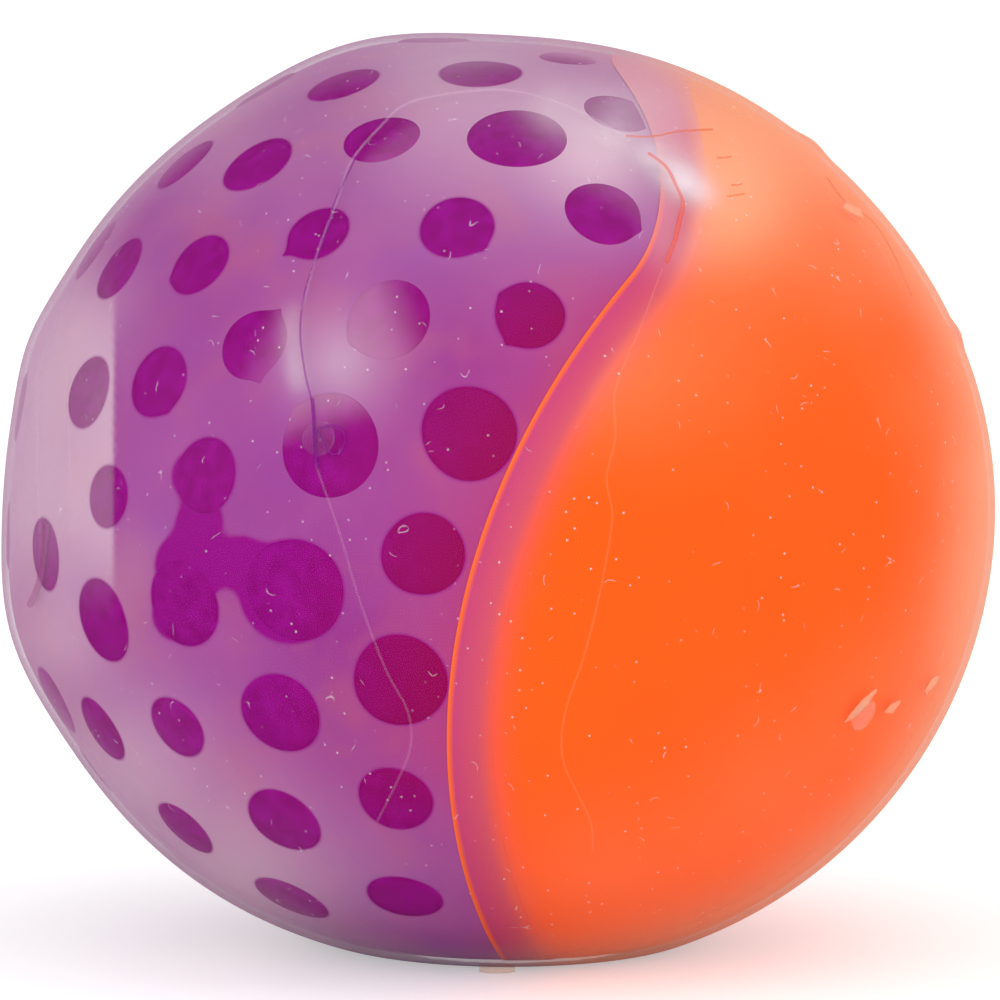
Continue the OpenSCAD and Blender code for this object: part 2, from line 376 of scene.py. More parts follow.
def makeSkinRubber():
    material, tree = newMaterial("clearRubber")
    cloud = noise(tree, rubberLook["cloud"], 4)
    cloudy = remap(tree, cloud, 0.3, 0.75, 0.7, 1.3)
    # the milky veil, with the painted highlights laid into it
    milk = combine(tree, "MULTIPLY", painted(tree, "veilAndHighlight"), cloudy, clamp=True)
    speckCore, speckRim = rubberLook["specks"]
    specks = remap(tree, cells(tree, rubberLook["speckSpacing"]), speckCore, speckRim, 0.5, 0)
    fewer = remap(tree, noise(tree, rubberLook["speckPatch"], 1), 0.36, 0.6)
    dust = combine(tree, "MULTIPLY", specks, fewer)
    offCurl = combine(tree, "SUBTRACT", noise(tree, rubberLook["fibreCurl"], 0), 0.5)
    fibre = remap(tree, combine(tree, "ABSOLUTE", offCurl), 0.006, 0.018, 0.35, 0)
    short = remap(tree, cells(tree, rubberLook["fibreLength"]), 0.14, 0.18, 1, 0)
    lint = combine(tree, "MULTIPLY", fibre, short)
    dirt = combine(tree, "MAXIMUM", lint, dust)
    cover = combine(tree, "MAXIMUM", milk, dirt, clamp=True)
    satin = remap(tree, cloud, 0, 1, 0.24, 0.36)
    grain = addNode(
        tree, "ShaderNodeBump",
        {"Strength": 0.06, "Distance": 0.0002, "Height": noise(tree, rubberLook["satin"], 2)},
    ).outputs["Normal"]
    # The bright gel glows further into the skin's edge than the beads do
    gelSide = painted(tree, "gelSide")
    edgeStart = remap(tree, gelSide, 0, 1, 0.62, 0.5)
    # Clear rubber is looked through edgeways at the outline, as at a pane's edge
    turned = addNode(tree, "ShaderNodeLayerWeight", {"Blend": 0.5}).outputs["Facing"]
    thick = remap(tree, turned, edgeStart, 0.95, 0, 0.8, soft=True)
    clear = addNode(tree, "ShaderNodeBsdfTransparent").outputs["BSDF"]
    # milky white, which also draws the painted highlights
    milky = addNode(
        tree, "ShaderNodeBsdfDiffuse", {"Color": linear("F1E2EA"), "Normal": grain}
    ).outputs["BSDF"]
    tint = dyeBetween(tree, gelSide, rubberLook["beadEdge"], rubberLook["gelEdge"])
    edging = addNode(tree, "ShaderNodeBsdfDiffuse", {"Color": tint}).outputs["BSDF"]
    gloss = addNode(
        tree, "ShaderNodeBsdfGlossy", {"Color": (1, 1, 1, 1), "Roughness": satin, "Normal": grain}
    ).outputs["BSDF"]
    mirrored = addNode(tree, "ShaderNodeFresnel", {"IOR": 1.45, "Normal": grain}).outputs["Fac"]
    dulled = combine(tree, "MULTIPLY", mirrored, 0.1)
    milkAndHighlight = blendShaders(tree, cover, clear, milky)
    veiled = blendShaders(tree, thick, milkAndHighlight, edging)
    finishMaterial(tree, blendShaders(tree, dulled, veiled, gloss))
    return material


# Cloudy dyed liquid, pressed against the clear skin: flat lilac, deeper where it is thin over a bead, with
# painted shade for depth in its deep places and swirls
def makeBeadLiquid():
    material, tree = newMaterial("cloudyLilacLiquid")
    swirl = noise(tree, 9 * mm, 5, 0.6)   # cloudy swirls, a bead or more across, which also paint shade between the beads for depth
    drift = noise(tree, 7 * mm, 3, 0.4)   # the dye drifts to rose and to violet over a bead's width
    swirled = remap(tree, swirl, 0.3, 0.7, -0.2, 0.2)
    # deep places and swirls: deeper dye, and painted shade between the beads for depth
    depth = combine(tree, "ADD", painted(tree, "deep"), swirled, clamp=True)
    overBead = remap(tree, painted(tree, "beadGap"), -0.1, 0.28, 1, 0, soft=True)
    layers = [
        (remap(tree, drift, 0.52, 0.72, 0, 0.55), "A84E76"),
        (remap(tree, drift, 0.48, 0.28, 0, 0.4), "8A349A"),
        # pale: milky places, with a painted highlight and painted light from below among them
        (painted(tree, "pale"), "D6B4C6"),
        # warm: painted rosy light of the divider
        (painted(tree, "warm"), "B0305E"),
        (overBead, "8E0C7E"),   # thin over a bead's edge
    ]
    finishFilling(tree, dyeBetween(tree, depth, "9E4892", "861A84"), layers, 0.6)
    return material


# Swollen gel beads, dyed purple: wet and dark where they press on the skin, with a finely mottled face
def makeGelBead():
    material, tree = newMaterial("purpleGelBead")
    mottled = remap(tree, noise(tree, 1.1 * mm, 3), 0.35, 0.7)   # mottle a sixth of a bead wide
    # warm: painted rosy light of the divider
    layers = [(painted(tree, "warm"), "8C0650"), (painted(tree, "film"), "D2A0BE")]
    finishFilling(tree, dyeBetween(tree, mottled, "84046E", "920C84"), layers, 0.5)
    return material


# Dense orange gel: even, bright and a little lit from within
def makeOrangeGel():
    material, tree = newMaterial("orangeGel")
    swirl = noise(tree, 14 * mm, 3)   # broad swirls, a few over the whole side
    layers = [
        (painted(tree, "deep"), "E8420C"),
        # blush: painted pink glow of the divider
        (painted(tree, "blush"), "D8565C"),
        # pale: painted reflection of the top softbox and painted light from below, with a paler right edge
        (painted(tree, "pale"), "F8AE88"),
    ]
    finishFilling(tree, dyeBetween(tree, swirl, "FF5610", "FF621C"), layers, 0.6)
    return material


# The divider's edge seen through the skin: orange light along the beads, pink rubber, then the gel's orange
def makeDividerRubber():
    material, tree = newMaterial("pinkDividerRubber")
    ramp = addNode(tree, "ShaderNodeValToRGB", {"Fac": painted(tree, "across")})
    stops = [(0, "F0702E"), (0.06, "E8603E"), (0.14, "BE4472"), (0.7, "CA5264"), (1, "E65A44")]
    bands = ramp.color_ramp.elements
    while len(bands) < len(stops):
        bands.new(0.5)
    for band, (place, code) in zip(bands, stops):
        band.position = place
        band.color = linear(code)
    # pale: the gel's painted reflection and light; milk: the skin's milky crown
    layers = [(painted(tree, "pale"), "F8AE88"), (painted(tree, "milk"), "DA98AA")]
    finishFilling(tree, ramp.outputs["Color"], layers, 0.6)
    return material


skinRubber = makeSkinRubber()
liquidMaterial = makeBeadLiquid()
beadMaterial = makeGelBead()
gelMaterial = makeOrangeGel()
dividerMaterial = makeDividerRubber()
print("materials ready")

# The bodies that the frame's parts ride on
bodies = frame["record"]["behaviour"]["bodies"]


def dress(piece, slot, *nodes):
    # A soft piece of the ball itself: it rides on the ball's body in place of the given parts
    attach(piece, "ball")
    if nodes:
        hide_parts(*nodes)
    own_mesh(piece)


# Beads: each presses a dark spot on the skin
beadLook = {
    "magnify": 1.1,       # the skin makes a contact look this much wider
    "around": 56,
    "rings": [0.3, 0.6, 0.8, 0.9, 0.95, 0.98, 1.0],
    "uneven": 0.02,
    "dividerGap": 0.12 * mm,
    "edgeDepth": layerDepth["liquid"],
    "body": np.linspace(0.25, -0.92, 7),   # rings of the body: shares of the radius along the contact's way
    "bareEdge": 0.3,      # a filmed bead's edge stays bare of dark liquid by this, mm
    "rosyReach": 11 * mm,
    "pressed": 0.2,       # a contact wider than this share of the bead counts as pressed on the skin
    "tipSpread": 8,       # degrees
    "tips": {             # pointed corners where liquid clings: bead number to angle and height
        13: [(225, 0.3)], 19: [(65, 0.22), (-65, 0.25)], 12: [(-42, 0.14)], 18: [(215, 0.1)],
        11: [(-35, 0.14)], 17: [(232, 0.16), (140, 0.1)], 23: [(140, 0.12)], 14: [(215, 0.12)],
        20: [(-50, 0.1)],
    },
    "film": {             # pale air film over part of a bead: amount, angle it lies at, from, to
        18: (0.36, 205, -0.8, 0.4), 6: (0.22, -30, -1.2, 0.4), 7: (0.35, 45, 0.35, 1.2), 2: (0.35, 0, -1, 1),
        23: (0.35, 110, 0.1, 0.9), 19: (0.15, -10, -0.2, 0.8), 11: (0.15, 40, 0, 1), 8: (0.12, -20, 0, 0.6),
    },
}


def solidIslands(node):
    bm = bmesh.new()
    bm.from_mesh(frame["nodes"][node].data)
    bmesh.ops.remove_doubles(bm, verts=bm.verts, dist=1e-7)
    bm.verts.index_update()
    found = [False] * len(bm.verts)
    islands = []
    for start in bm.verts:
        if found[start.index]:
            continue
        found[start.index] = True
        stack, island = [start], []
        while stack:
            vert = stack.pop()
            island.append(vert.co[:])
            for edge in vert.link_edges:
                other = edge.other_vert(vert)
                if not found[other.index]:
                    found[other.index] = True
                    stack.append(other)
        islands.append(np.array(island))
    bm.free()
    return islands


def beadFacts(points):
    # Centre and radius by a sphere fit; the contact's direction and radius from the flat against the skin
    system = np.hstack([2 * points, np.ones((len(points), 1))])
    fit = np.linalg.lstsq(system, (points**2).sum(1), rcond=None)[0]
    centre = fit[:3]
    radius = math.sqrt(fit[3] + centre @ centre)
    rel = centre - ballCentre
    level = unit(np.array([rel[0], rel[1], 0]))
    outward = unit(rel - level * ballForm["crownSag"])
    height = ((points - centre) @ outward).max()
    contact = math.sqrt(max(radius**2 - height**2, 0))
    contactDir = unit(rel + outward * height)
    return {"centre": centre, "radius": radius, "dir": contactDir, "contact": contact}


def spotFrame(direction):
    # Ways to the right and up along the skin, seen from outside
    side = unit(np.cross([0, 0, 1], direction))
    return side, np.cross(direction, side)


def spotDirs(bead, distance, angle):
    # Directions at a distance along the skin from the contact's middle, at an angle round it
    side, up = spotFrame(bead["dir"])
    turn = np.asarray(distance) / ballForm["halfWidth"]
    way = np.cos(angle)[..., None] * side + np.sin(angle)[..., None] * up
    return np.cos(turn)[..., None] * bead["dir"] + np.sin(turn)[..., None] * way


def spotOutline(bead, number, angle):
    # Radius of the dark spot round the contact, held back from the divider
    radius = bead["contact"] * beadLook["magnify"] * np.ones(len(angle))
    wobble = beadLook["uneven"] * (np.sin(2 * angle + number) + 0.6 * np.sin(3 * angle + 2.3 * number))
    radius = radius * (1 + wobble)
    for tipAngle, height in beadLook["tips"].get(number, []):
        apart = np.abs((np.degrees(angle) - tipAngle + 180) % 360 - 180)
        radius = radius * (1 + height * np.exp(-apart / beadLook["tipSpread"]))
    steps = np.linspace(0.2, 1, 41)
    for k, a in enumerate(angle):
        reachOut = radius[k] * steps
        dirs = spotDirs(bead, reachOut, np.full(len(steps), a))
        clear = wallDistance(formPoints(dirs, layerDepth["bead"])) > beadLook["dividerGap"]
        radius[k] = reachOut[clear.nonzero()[0].max()] if clear.any() else reachOut[0]
    return radius


def beadMesh(name, beads):
    # One piece for the given numbered beads, each a closed form with a face that follows the skin
    count = beadLook["around"]
    angle = np.linspace(0, 2 * math.pi, count, endpoint=False)
    points, faces, warms, films = [], [], [], []
    for number, bead in beads:
        first = len(points)
        outline = spotOutline(bead, number, angle)
        bead["outline"] = outline
        bead["bareEdge"] = beadLook["bareEdge"] if number in beadLook["film"] else 0
        points.append(formPoints(bead["dir"][None], layerDepth["bead"])[0])
        for share in beadLook["rings"]:
            sink = (beadLook["edgeDepth"] - layerDepth["bead"]) * share**8
            ring = formPoints(spotDirs(bead, outline * share, angle), layerDepth["bead"] + sink)
            points.extend(ring)
        side, up = spotFrame(bead["dir"])
        for height in beadLook["body"]:
            ringRadius = bead["radius"] * math.sqrt(1 - height**2)
            ring = bead["centre"] + bead["dir"] * bead["radius"] * height
            points.extend(
                ring + ringRadius * (np.cos(a) * side + np.sin(a) * up) for a in angle
            )
        points.append(bead["centre"] - bead["dir"] * bead["radius"])
        faces.extend(ringFaces(first, len(beadLook["rings"]) + len(beadLook["body"]), count))
        made = np.array(points[first:])
        # painted rosy light of the divider on the beads near it
        nearWall = np.clip(1.1 - wallDistance(made) / beadLook["rosyReach"], 0, 1)
        warms.extend(nearWall * rosyHeights(made))
        amount, way, low, high = beadLook["film"].get(number, (0, 0, 0, 1))
        toward = np.cos(math.radians(way)) * side + np.sin(math.radians(way)) * up
        share = (made - formPoints(bead["dir"][None], layerDepth["bead"])) @ toward / outline.max()
        films.extend(amount * softStep(low, high, share))
    piece = meshObject(name, points, faces, beadMaterial)
    setAttribute(piece, "warm", warms)
    setAttribute(piece, "film", films)
    return piece


def coreTree():
    tree = bpy.data.node_groups.new("coreBeads", "GeometryNodeTree")
    tree.interface.new_socket("Geometry", in_out="INPUT", socket_type="NodeSocketGeometry")
    radiusSocket = tree.interface.new_socket("Bead Radius", in_out="INPUT", socket_type="NodeSocketFloat")
    tree.interface.new_socket("Geometry", in_out="OUTPUT", socket_type="NodeSocketGeometry")
    given = addNode(tree, "NodeGroupInput")
    ball = addNode(
        tree, "GeometryNodeMeshIcoSphere", {"Subdivisions": 3}, {"Radius": given.outputs["Bead Radius"]}
    )
    placed = addNode(
        tree, "GeometryNodeInstanceOnPoints", {},
        {"Points": given.outputs["Geometry"], "Instance": ball.outputs["Mesh"]},
    )
    real = addNode(tree, "GeometryNodeRealizeInstances", {}, {"Geometry": placed.outputs["Instances"]})
    smooth = addNode(tree, "GeometryNodeSetShadeSmooth", {}, {"Geometry": real.outputs["Geometry"]})
    dyed = addNode(
        tree, "GeometryNodeSetMaterial", {"Material": beadMaterial}, {"Geometry": smooth.outputs["Geometry"]}
    )
    addNode(tree, "NodeGroupOutput", {}, {"Geometry": dyed.outputs["Geometry"]})
    return tree, radiusSocket.identifier


def grown(name, carrier):
    # The plain mesh that a Geometry Nodes modifier makes, in place of its carrier
    bpy.context.view_layer.update()
    evaluated = carrier.evaluated_get(bpy.context.evaluated_depsgraph_get())
    mesh = bpy.data.meshes.new_from_object(evaluated)
    bpy.data.objects.remove(carrier)
    mesh.name = name
    piece = bpy.data.objects.new(name, mesh)
    scene.collection.objects.link(piece)
    return piece


coreGroup, coreRadiusInput = coreTree()
surfaceBeads = []
for body, nodes in bodies.items():
    if not body.startswith("bead_row_"):
        continue
    for node in nodes:
        facts = [beadFacts(island) for island in solidIslands(node)]
        if node.startswith("bead_"):
            number = int(node.split("_")[1])
            piece = beadMesh("gelBead_" + node.split("_")[1], [(number, facts[0])])
            surfaceBeads.append(facts[0])
            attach(piece, body)
            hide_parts(node)
            continue
        pressed = [f for f in facts if f["contact"] > beadLook["pressed"] * f["radius"]]
        loose = [f for f in facts if f["contact"] <= beadLook["pressed"] * f["radius"]]
        row = node.split("_")[-1]
        if pressed:
            farNumber = 100 * int(row)
            piece = beadMesh("farBeads_" + row, [(farNumber + i, f) for i, f in enumerate(pressed)])
            surfaceBeads.extend(pressed)
            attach(piece, body)
            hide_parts(node)
        if loose:
            carrier = meshObject("coreCarrier", [f["centre"] for f in loose], [], beadMaterial)
            grow = carrier.modifiers.new("core", "NODES")
            grow.node_group = coreGroup
            grow[coreRadiusInput] = loose[0]["radius"]
            core = grown("coreBeads_" + row, carrier)
            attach(core, body)
            if not pressed:
                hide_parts(node)
print("beads ready:", len(surfaceBeads), "on the skin")


# Milky places that the skin and the filling under it share, with painted highlights among them
weldLoop = [   # fine weld line round the front, in mm across and up
    (-6.1, -29.9), (-8.3, -26.5), (-8.9, -24.1), (-8.5, -21.9), (-7, -18.9), (-6.2, -16.7), (-6.4, -14.3),
    (-7.9, -11.5), (-9.7, -6.8), (-11.2, -1.8), (-12.8, 2.8), (-13.3, 7.6), (-13.8, 10.1), (-13.7, 13.5),
    (-12.6, 17.3), (-11.2, 21), (-10.2, 23.7), (-8.3, 26), (-6.4, 27.7), (-2.8, 28.5), (1, 28.6), (4.9, 27.4),
    (8.7, 25.4), (11.9, 22.8), (12.6, 20.5), (11.2, 16.3), (9.7, 12.3), (8, 8), (8, 4.7), (7.4, 1.8),
    (7.8, -0.6), (7.4, -3.7), (6.6, -7.6), (5.7, -10.9), (4.5, -14.5), (4.4, -17.8), (6.2, -21.7),
    (6.4, -23.9),
]
skinLook = {
    "baseVeil": 0.001,
    "loopVeil": 0.002,
    "mostVeil": 0.85,
    "veilStep": 0.03,         # the grid is split where the veil changes by more than this
    "veilRounds": 2,
    "bandVeil": 0.12,         # air under the skin at the far left
    "bandEdge": (-26.8, -27.2),
    "bandFoot": (-9, 0),      # heights between which it fades in and out again
    "bandTop": (18, 8),
    # The veil's spots, across, up, radius in mm and amount, are milky air under the skin, except the painted
    # highlights: along the weld crease's left side and right of it, and the white streak of a dent near the
    # divider's crown
    "veilAndHighlight": [
        (7.5, 26.5, 3, 0.2), (-3, 32, 4.5, 0.12), (-30, 16, 5, 0.03), (-27, -20, 6, 0.04),
        (-18, -29, 5, 0.08), (-14.4, 13.4, 0.8, 0.1), (-14.5, 12.4, 0.8, 0.14), (-14.5, 11.4, 0.8, 0.16),
        (-14.4, 10.4, 0.8, 0.18), (-14.3, 9.4, 0.8, 0.18), (-14, 8.4, 0.8, 0.14), (-11, 10, 2.3, 0.16),
        # painted highlight: the white streak of a dent in the skin near the divider's crown
        (12.2, 23.4, 1.5, 0.45), (13.4, 22.2, 1.4, 0.4), (14.4, 21.5, 1, 0.2), (10.5, 24.6, 1.2, 0.4),
        (8, 26, 1.4, 0.25), (9.9, 27.9, 2.5, 0.12), (12.7, 18, 2, 0.08), (3.5, 27.6, 1.8, 0.2),
    ],
}


def leftBand(points):
    # The pale band at the far left: crisp on its inner side, fading above and below
    across, up, toward = seenPlaces(points)
    inner = softStep(*skinLook["bandEdge"], across)
    tall = softStep(*skinLook["bandFoot"], up) * softStep(*skinLook["bandTop"], up)
    return inner * tall * facing(toward)


def loopHaze(points):
    across, up, toward = seenPlaces(points)
    inside = insideLoop(across, up, weldLoop) & (toward > 0) & (wallDistance(points) > 0)
    return inside * softStep(-12, 2, up)


# The two fillings: each a closed form that reaches from the divider to just under the skin
def castOut(room, dirs):
    # Where rays from a chamber's star point end, and whether they end on the divider
    def margins(points):
        return depthOf(points) - room["depth"], room["side"] * wallDistance(points) - room["wallGap"]

    near = np.zeros(len(dirs))
    far = np.full(len(dirs), 2.2 * ballForm["halfWidth"])   # longer than any chord
    for _ in range(halvings):
        middle = (near + far) / 2
        held = np.minimum(*margins(room["star"] + dirs * middle[:, None])) > 0
        near = np.where(held, middle, near)
        far = np.where(held, far, middle)
    points = room["star"] + dirs * near[:, None]
    fromSkin, fromWall = margins(points)
    return points, fromWall < fromSkin


def chamber(room, dirs, faces):
    # A closed form with a true edge where the skin's side meets the divider's
    points, onWall = castOut(room, dirs)
    crossed = {}
    for face in faces:
        for a, b in zip(face, face[1:] + face[:1]):
            if onWall[a] != onWall[b]:
                crossed.setdefault((min(a, b), max(a, b)), len(dirs) + len(crossed))
    ends = np.array(list(crossed))
    low, high = np.zeros(len(ends)), np.ones(len(ends))
    for _ in range(cornerHalvings):
        middle = ((low + high) / 2)[:, None]
        onEdge = unit(dirs[ends[:, 0]] * (1 - middle) + dirs[ends[:, 1]] * middle)
        corner, cornerOnWall = castOut(room, onEdge)
        same = cornerOnWall == onWall[ends[:, 0]]
        low = np.where(same, middle[:, 0], low)
        high = np.where(same, high, middle[:, 0])
    split = []
    for face in faces:
        marks = [bool(onWall[i]) for i in face]
        if len(set(marks)) == 1:
            split.append(face)
            continue
        odd = next(k for k in range(3) if marks.count(marks[k]) == 1)
        a, b, c = face[odd], face[odd - 2], face[odd - 1]
        p = crossed[min(a, b), max(a, b)]
        q = crossed[min(a, c), max(a, c)]
        split.extend([[a, p, q], [p, b, c, q]])
    return np.vstack([points, corner]), split, len(dirs)


def sharpenFrom(piece, firstCorner):
    for edge in piece.data.edges:
        edge.use_edge_sharp = min(edge.vertices) >= firstCorner


liquidLook = {
    "star": np.array([-20, 0, 0]) * mm,
    "wallGap": -0.05 * mm,
    "filmSpots": [                # liquid bridge that joins three beads: across, up, radius, mm
        (-20.8, 2, 2), (-20.9, -1.2, 1.6), (-21.5, -4.2, 2.5), (-22.3, -7.6, 1.9), (-18, -4, 1.8),
        (-14.5, -6, 3.6),
    ],
    "filmBlend": 1.1,
    "pale": [                     # milky or airy places: across, up, radius, amount; the one right of the weld crease is a painted highlight, and the two strong ones low at the left paint light from below
        (-30, 14, 4, 0.3), (-2, 30, 9, 0.5), (7, 25, 4.5, 0.75), (-27, -19, 6, 0.55), (-31, -9, 4, 0.5),
        (-19, -28, 7, 0.75), (-11, 10, 4, 0.3), (-20, 27, 6, 0.25), (-25.5, -4, 3, 0.12), (-9, -27, 4, 0.08),
    ],
    # deeper places, across, up, radius, amount: deeper dye, and painted shade that gives depth between the
    # beads
    "deep": [
        (-17, -1, 8, 0.35), (-6, 1, 6, 0.35), (-11, -10.5, 6, 0.6), (-4, 16, 5, 0.45), (-20, 12, 6, 0.2),
        (-3, 9, 4.5, 0.6), (2, 8, 3, 0.3), (-9, 23, 4, 0.3),
        (-9, -17, 5, 0.25), (-16, 24, 4, 0.15),
    ],
    "basePale": 0.05,
    "bandPale": 0.6,
    "loopPale": 0.01,
    "baseDeep": 0.1,
    "mostPale": 0.92,
    "rosy": 0.6,                  # rosy light of the divider in the liquid beside it
    "rosyReach": 5 * mm,
    "farGap": 9.0,                # far from any spot, mm
    "edgeGaps": (-0.4, 0.6),      # the grid is split where the gap changes fast between these, mm
    "edgeStep": 0.16,
    "edgeRounds": 2,
}


def smoothLeast(a, b, blend):
    share = np.clip(0.5 + 0.5 * (b - a) / blend, 0, 1)
    return b + (a - b) * share - blend * share * (1 - share)


def beadGaps(points):
    # Distance in mm from the edge of the nearest dark spot, negative inside it
    dirs = unit(points - ballCentre)
    gaps = np.full(len(points), liquidLook["farGap"])
    ringAngle = np.linspace(0, 2 * math.pi, beadLook["around"], endpoint=False)
    for bead in surfaceBeads:
        side, up = spotFrame(bead["dir"])
        apart = np.arccos(np.clip(dirs @ bead["dir"], -1, 1)) * ballForm["halfWidth"]
        angle = np.arctan2(dirs @ up, dirs @ side) % (2 * math.pi)
        outline = np.interp(angle, ringAngle, bead["outline"], period=2 * math.pi)
        gaps = np.minimum(gaps, (apart - outline) / mm + bead["bareEdge"])
    across, rise, toward = seenPlaces(points)
    film = np.full(len(points), liquidLook["farGap"])
    for spotAcross, spotUp, radius in liquidLook["filmSpots"]:
        fromSpot = np.hypot(across - spotAcross, rise - spotUp) - radius
        film = smoothLeast(film, fromSpot, liquidLook["filmBlend"])
    return np.where(toward > 0, np.minimum(gaps, film), gaps)


def makeLiquid():
    room = {
        "star": ballCentre + liquidLook["star"],
        "depth": layerDepth["liquid"],
        "side": 1,
        "wallGap": liquidLook["wallGap"],
    }

    def spotEdges(dirs):
        return np.clip(beadGaps(castOut(room, dirs)[0]), *liquidLook["edgeGaps"])

    dirs, faces = refineGrid(
        gridDirs, gridFaces, spotEdges, liquidLook["edgeStep"], liquidLook["edgeRounds"]
    )
    points, faces, firstCorner = chamber(room, dirs, faces)
    piece = meshObject("beadLiquid", points, faces, liquidMaterial)
    sharpenFrom(piece, firstCorner)
    setAttribute(piece, "beadGap", beadGaps(points))
    pale = liquidLook["basePale"] + spread(points, liquidLook["pale"])
    pale = pale + liquidLook["bandPale"] * leftBand(points) + liquidLook["loopPale"] * loopHaze(points)
    setAttribute(piece, "pale", np.clip(pale, 0, liquidLook["mostPale"]))
    setAttribute(piece, "deep", np.clip(liquidLook["baseDeep"] + spread(points, liquidLook["deep"]), 0, 1))
    # painted rosy light of the divider, in the liquid beside it
    nearWall = np.exp(-np.maximum(wallDistance(points), 0) / liquidLook["rosyReach"])
    setAttribute(piece, "warm", liquidLook["rosy"] * nearWall * rosyHeights(points))
    dress(piece, "bead_liquid", "bead_liquid")
    print("liquid:", len(faces), "faces")


gelLook = {
    "star": np.array([25.5, 0, 18]) * mm,
    "wallGap": dividerWall["thickness"] - 0.05 * mm,
    # paler places, across, up, radius, amount: at the top right the top softbox's painted reflection, along
    # the right outline a paler edge, and near the foot painted light from below
    "pale": [
        (18, 23.5, 6, 0.6), (12, 28, 6, 0.6), (34.5, 2, 4, 0.4), (34.3, -4, 4, 0.4), (33, -9, 4, 0.3),
        (15.5, 20, 3.5, 0.3),
        (8, 9, 5, 0.14), (14, 12, 6, 0.1), (26, 17, 5, 0.2), (31, 8, 4, 0.15), (28, -14, 5, 0.15),
        (20, -22, 7, 0.16), (6, -27, 6, 0.14), (13, -30, 6, 0.14),
    ],
    "deep": [(20, -2, 12, 0.12), (10, 0, 8, 0.05)],
    "mostPale": 0.9,
    "blush": 0.6,              # painted pink glow of the divider in the gel beside it
    "blushReach": 0.7 * mm,
}


def makeGel():
    room = {
        "star": ballCentre + gelLook["star"],
        "depth": layerDepth["gel"],
        "side": -1,
        "wallGap": gelLook["wallGap"],
    }
    points, faces, firstCorner = chamber(room, gridDirs, gridFaces)
    piece = meshObject("orangeGel", points, faces, gelMaterial)
    sharpenFrom(piece, firstCorner)
    setAttribute(piece, "pale", np.clip(spread(points, gelLook["pale"]), 0, gelLook["mostPale"]))
    setAttribute(piece, "deep", np.clip(spread(points, gelLook["deep"]), 0, 1))
    pastWall = np.maximum(-wallDistance(points) - dividerWall["thickness"], 0)
    setAttribute(piece, "blush", gelLook["blush"] * np.exp(-pastWall / gelLook["blushReach"]))
    dress(piece, "orange_gel", "orange_gel")


makeLiquid()
makeGel()
print("fillings ready")


# Divider: a curved plate whose rim follows the skin
dividerLook = {
    "along": 220,
    "faceSteps": 20,
    "rimSteps": 14,
    "endSteps": 1201,          # places along the S at which its ends are looked for
    "acrossSteps": 33,         # and places across its thickness
    "mostMilk": 0.9,
    "leastHalf": 0.02 * mm,    # half width left at the crown and the foot
    "sharpAngle": math.radians(50),
    "milk": [                  # the skin is milky over its crown end
        (9.5, 31, 3, 0.8), (11, 28, 3, 0.8), (12, 25, 2.5, 0.5), (11.6, 21.5, 2.2, 0.5), (11.3, 18.5, 2, 0.3),
    ],
}


def dividerProfile(share, past):
    # Across and up of the S at a share of its length, a distance past its bead-side face
    bendLow, bendJoin = math.radians(-38), math.atan2(-joinDir[1], joinDir[0])
    bulgeJoin, bulgeTop = math.atan2(joinDir[1], joinDir[0]), math.radians(82)
    bendLength = (bendJoin - bendLow) * dividerWall["bendRadius"]
    bulgeLength = (bulgeTop - bulgeJoin) * dividerWall["bulgeRadius"]
    along = share * (bendLength + bulgeLength)
    if along < bendLength:
        turn = bendLow + along / dividerWall["bendRadius"]
        radius = dividerWall["bendRadius"] - past
        return bendCentre + radius * np.array([-math.cos(turn), math.sin(turn)])
    turn = bulgeJoin + (along - bendLength) / dividerWall["bulgeRadius"]
    radius = dividerWall["bulgeRadius"] + past
    return bulgeCentre + radius * np.array([math.cos(turn), math.sin(turn)])


def halfChord(flat, depth):
    # How far along Y a point of the section can go before it meets the skin
    points = np.zeros((len(flat), 3))
    points[:, 0] = flat[:, 0]
    points[:, 2] = flat[:, 1]
    points += ballCentre
    near = np.zeros(len(flat))
    far = np.full(len(flat), 1.2 * ballForm["halfWidth"])   # longer than any half chord
    for _ in range(halvings):
        middle = (near + far) / 2
        points[:, 1] = -middle
        held = depthOf(points) > depth
        near = np.where(held, middle, near)
        far = np.where(held, far, middle)
    return near


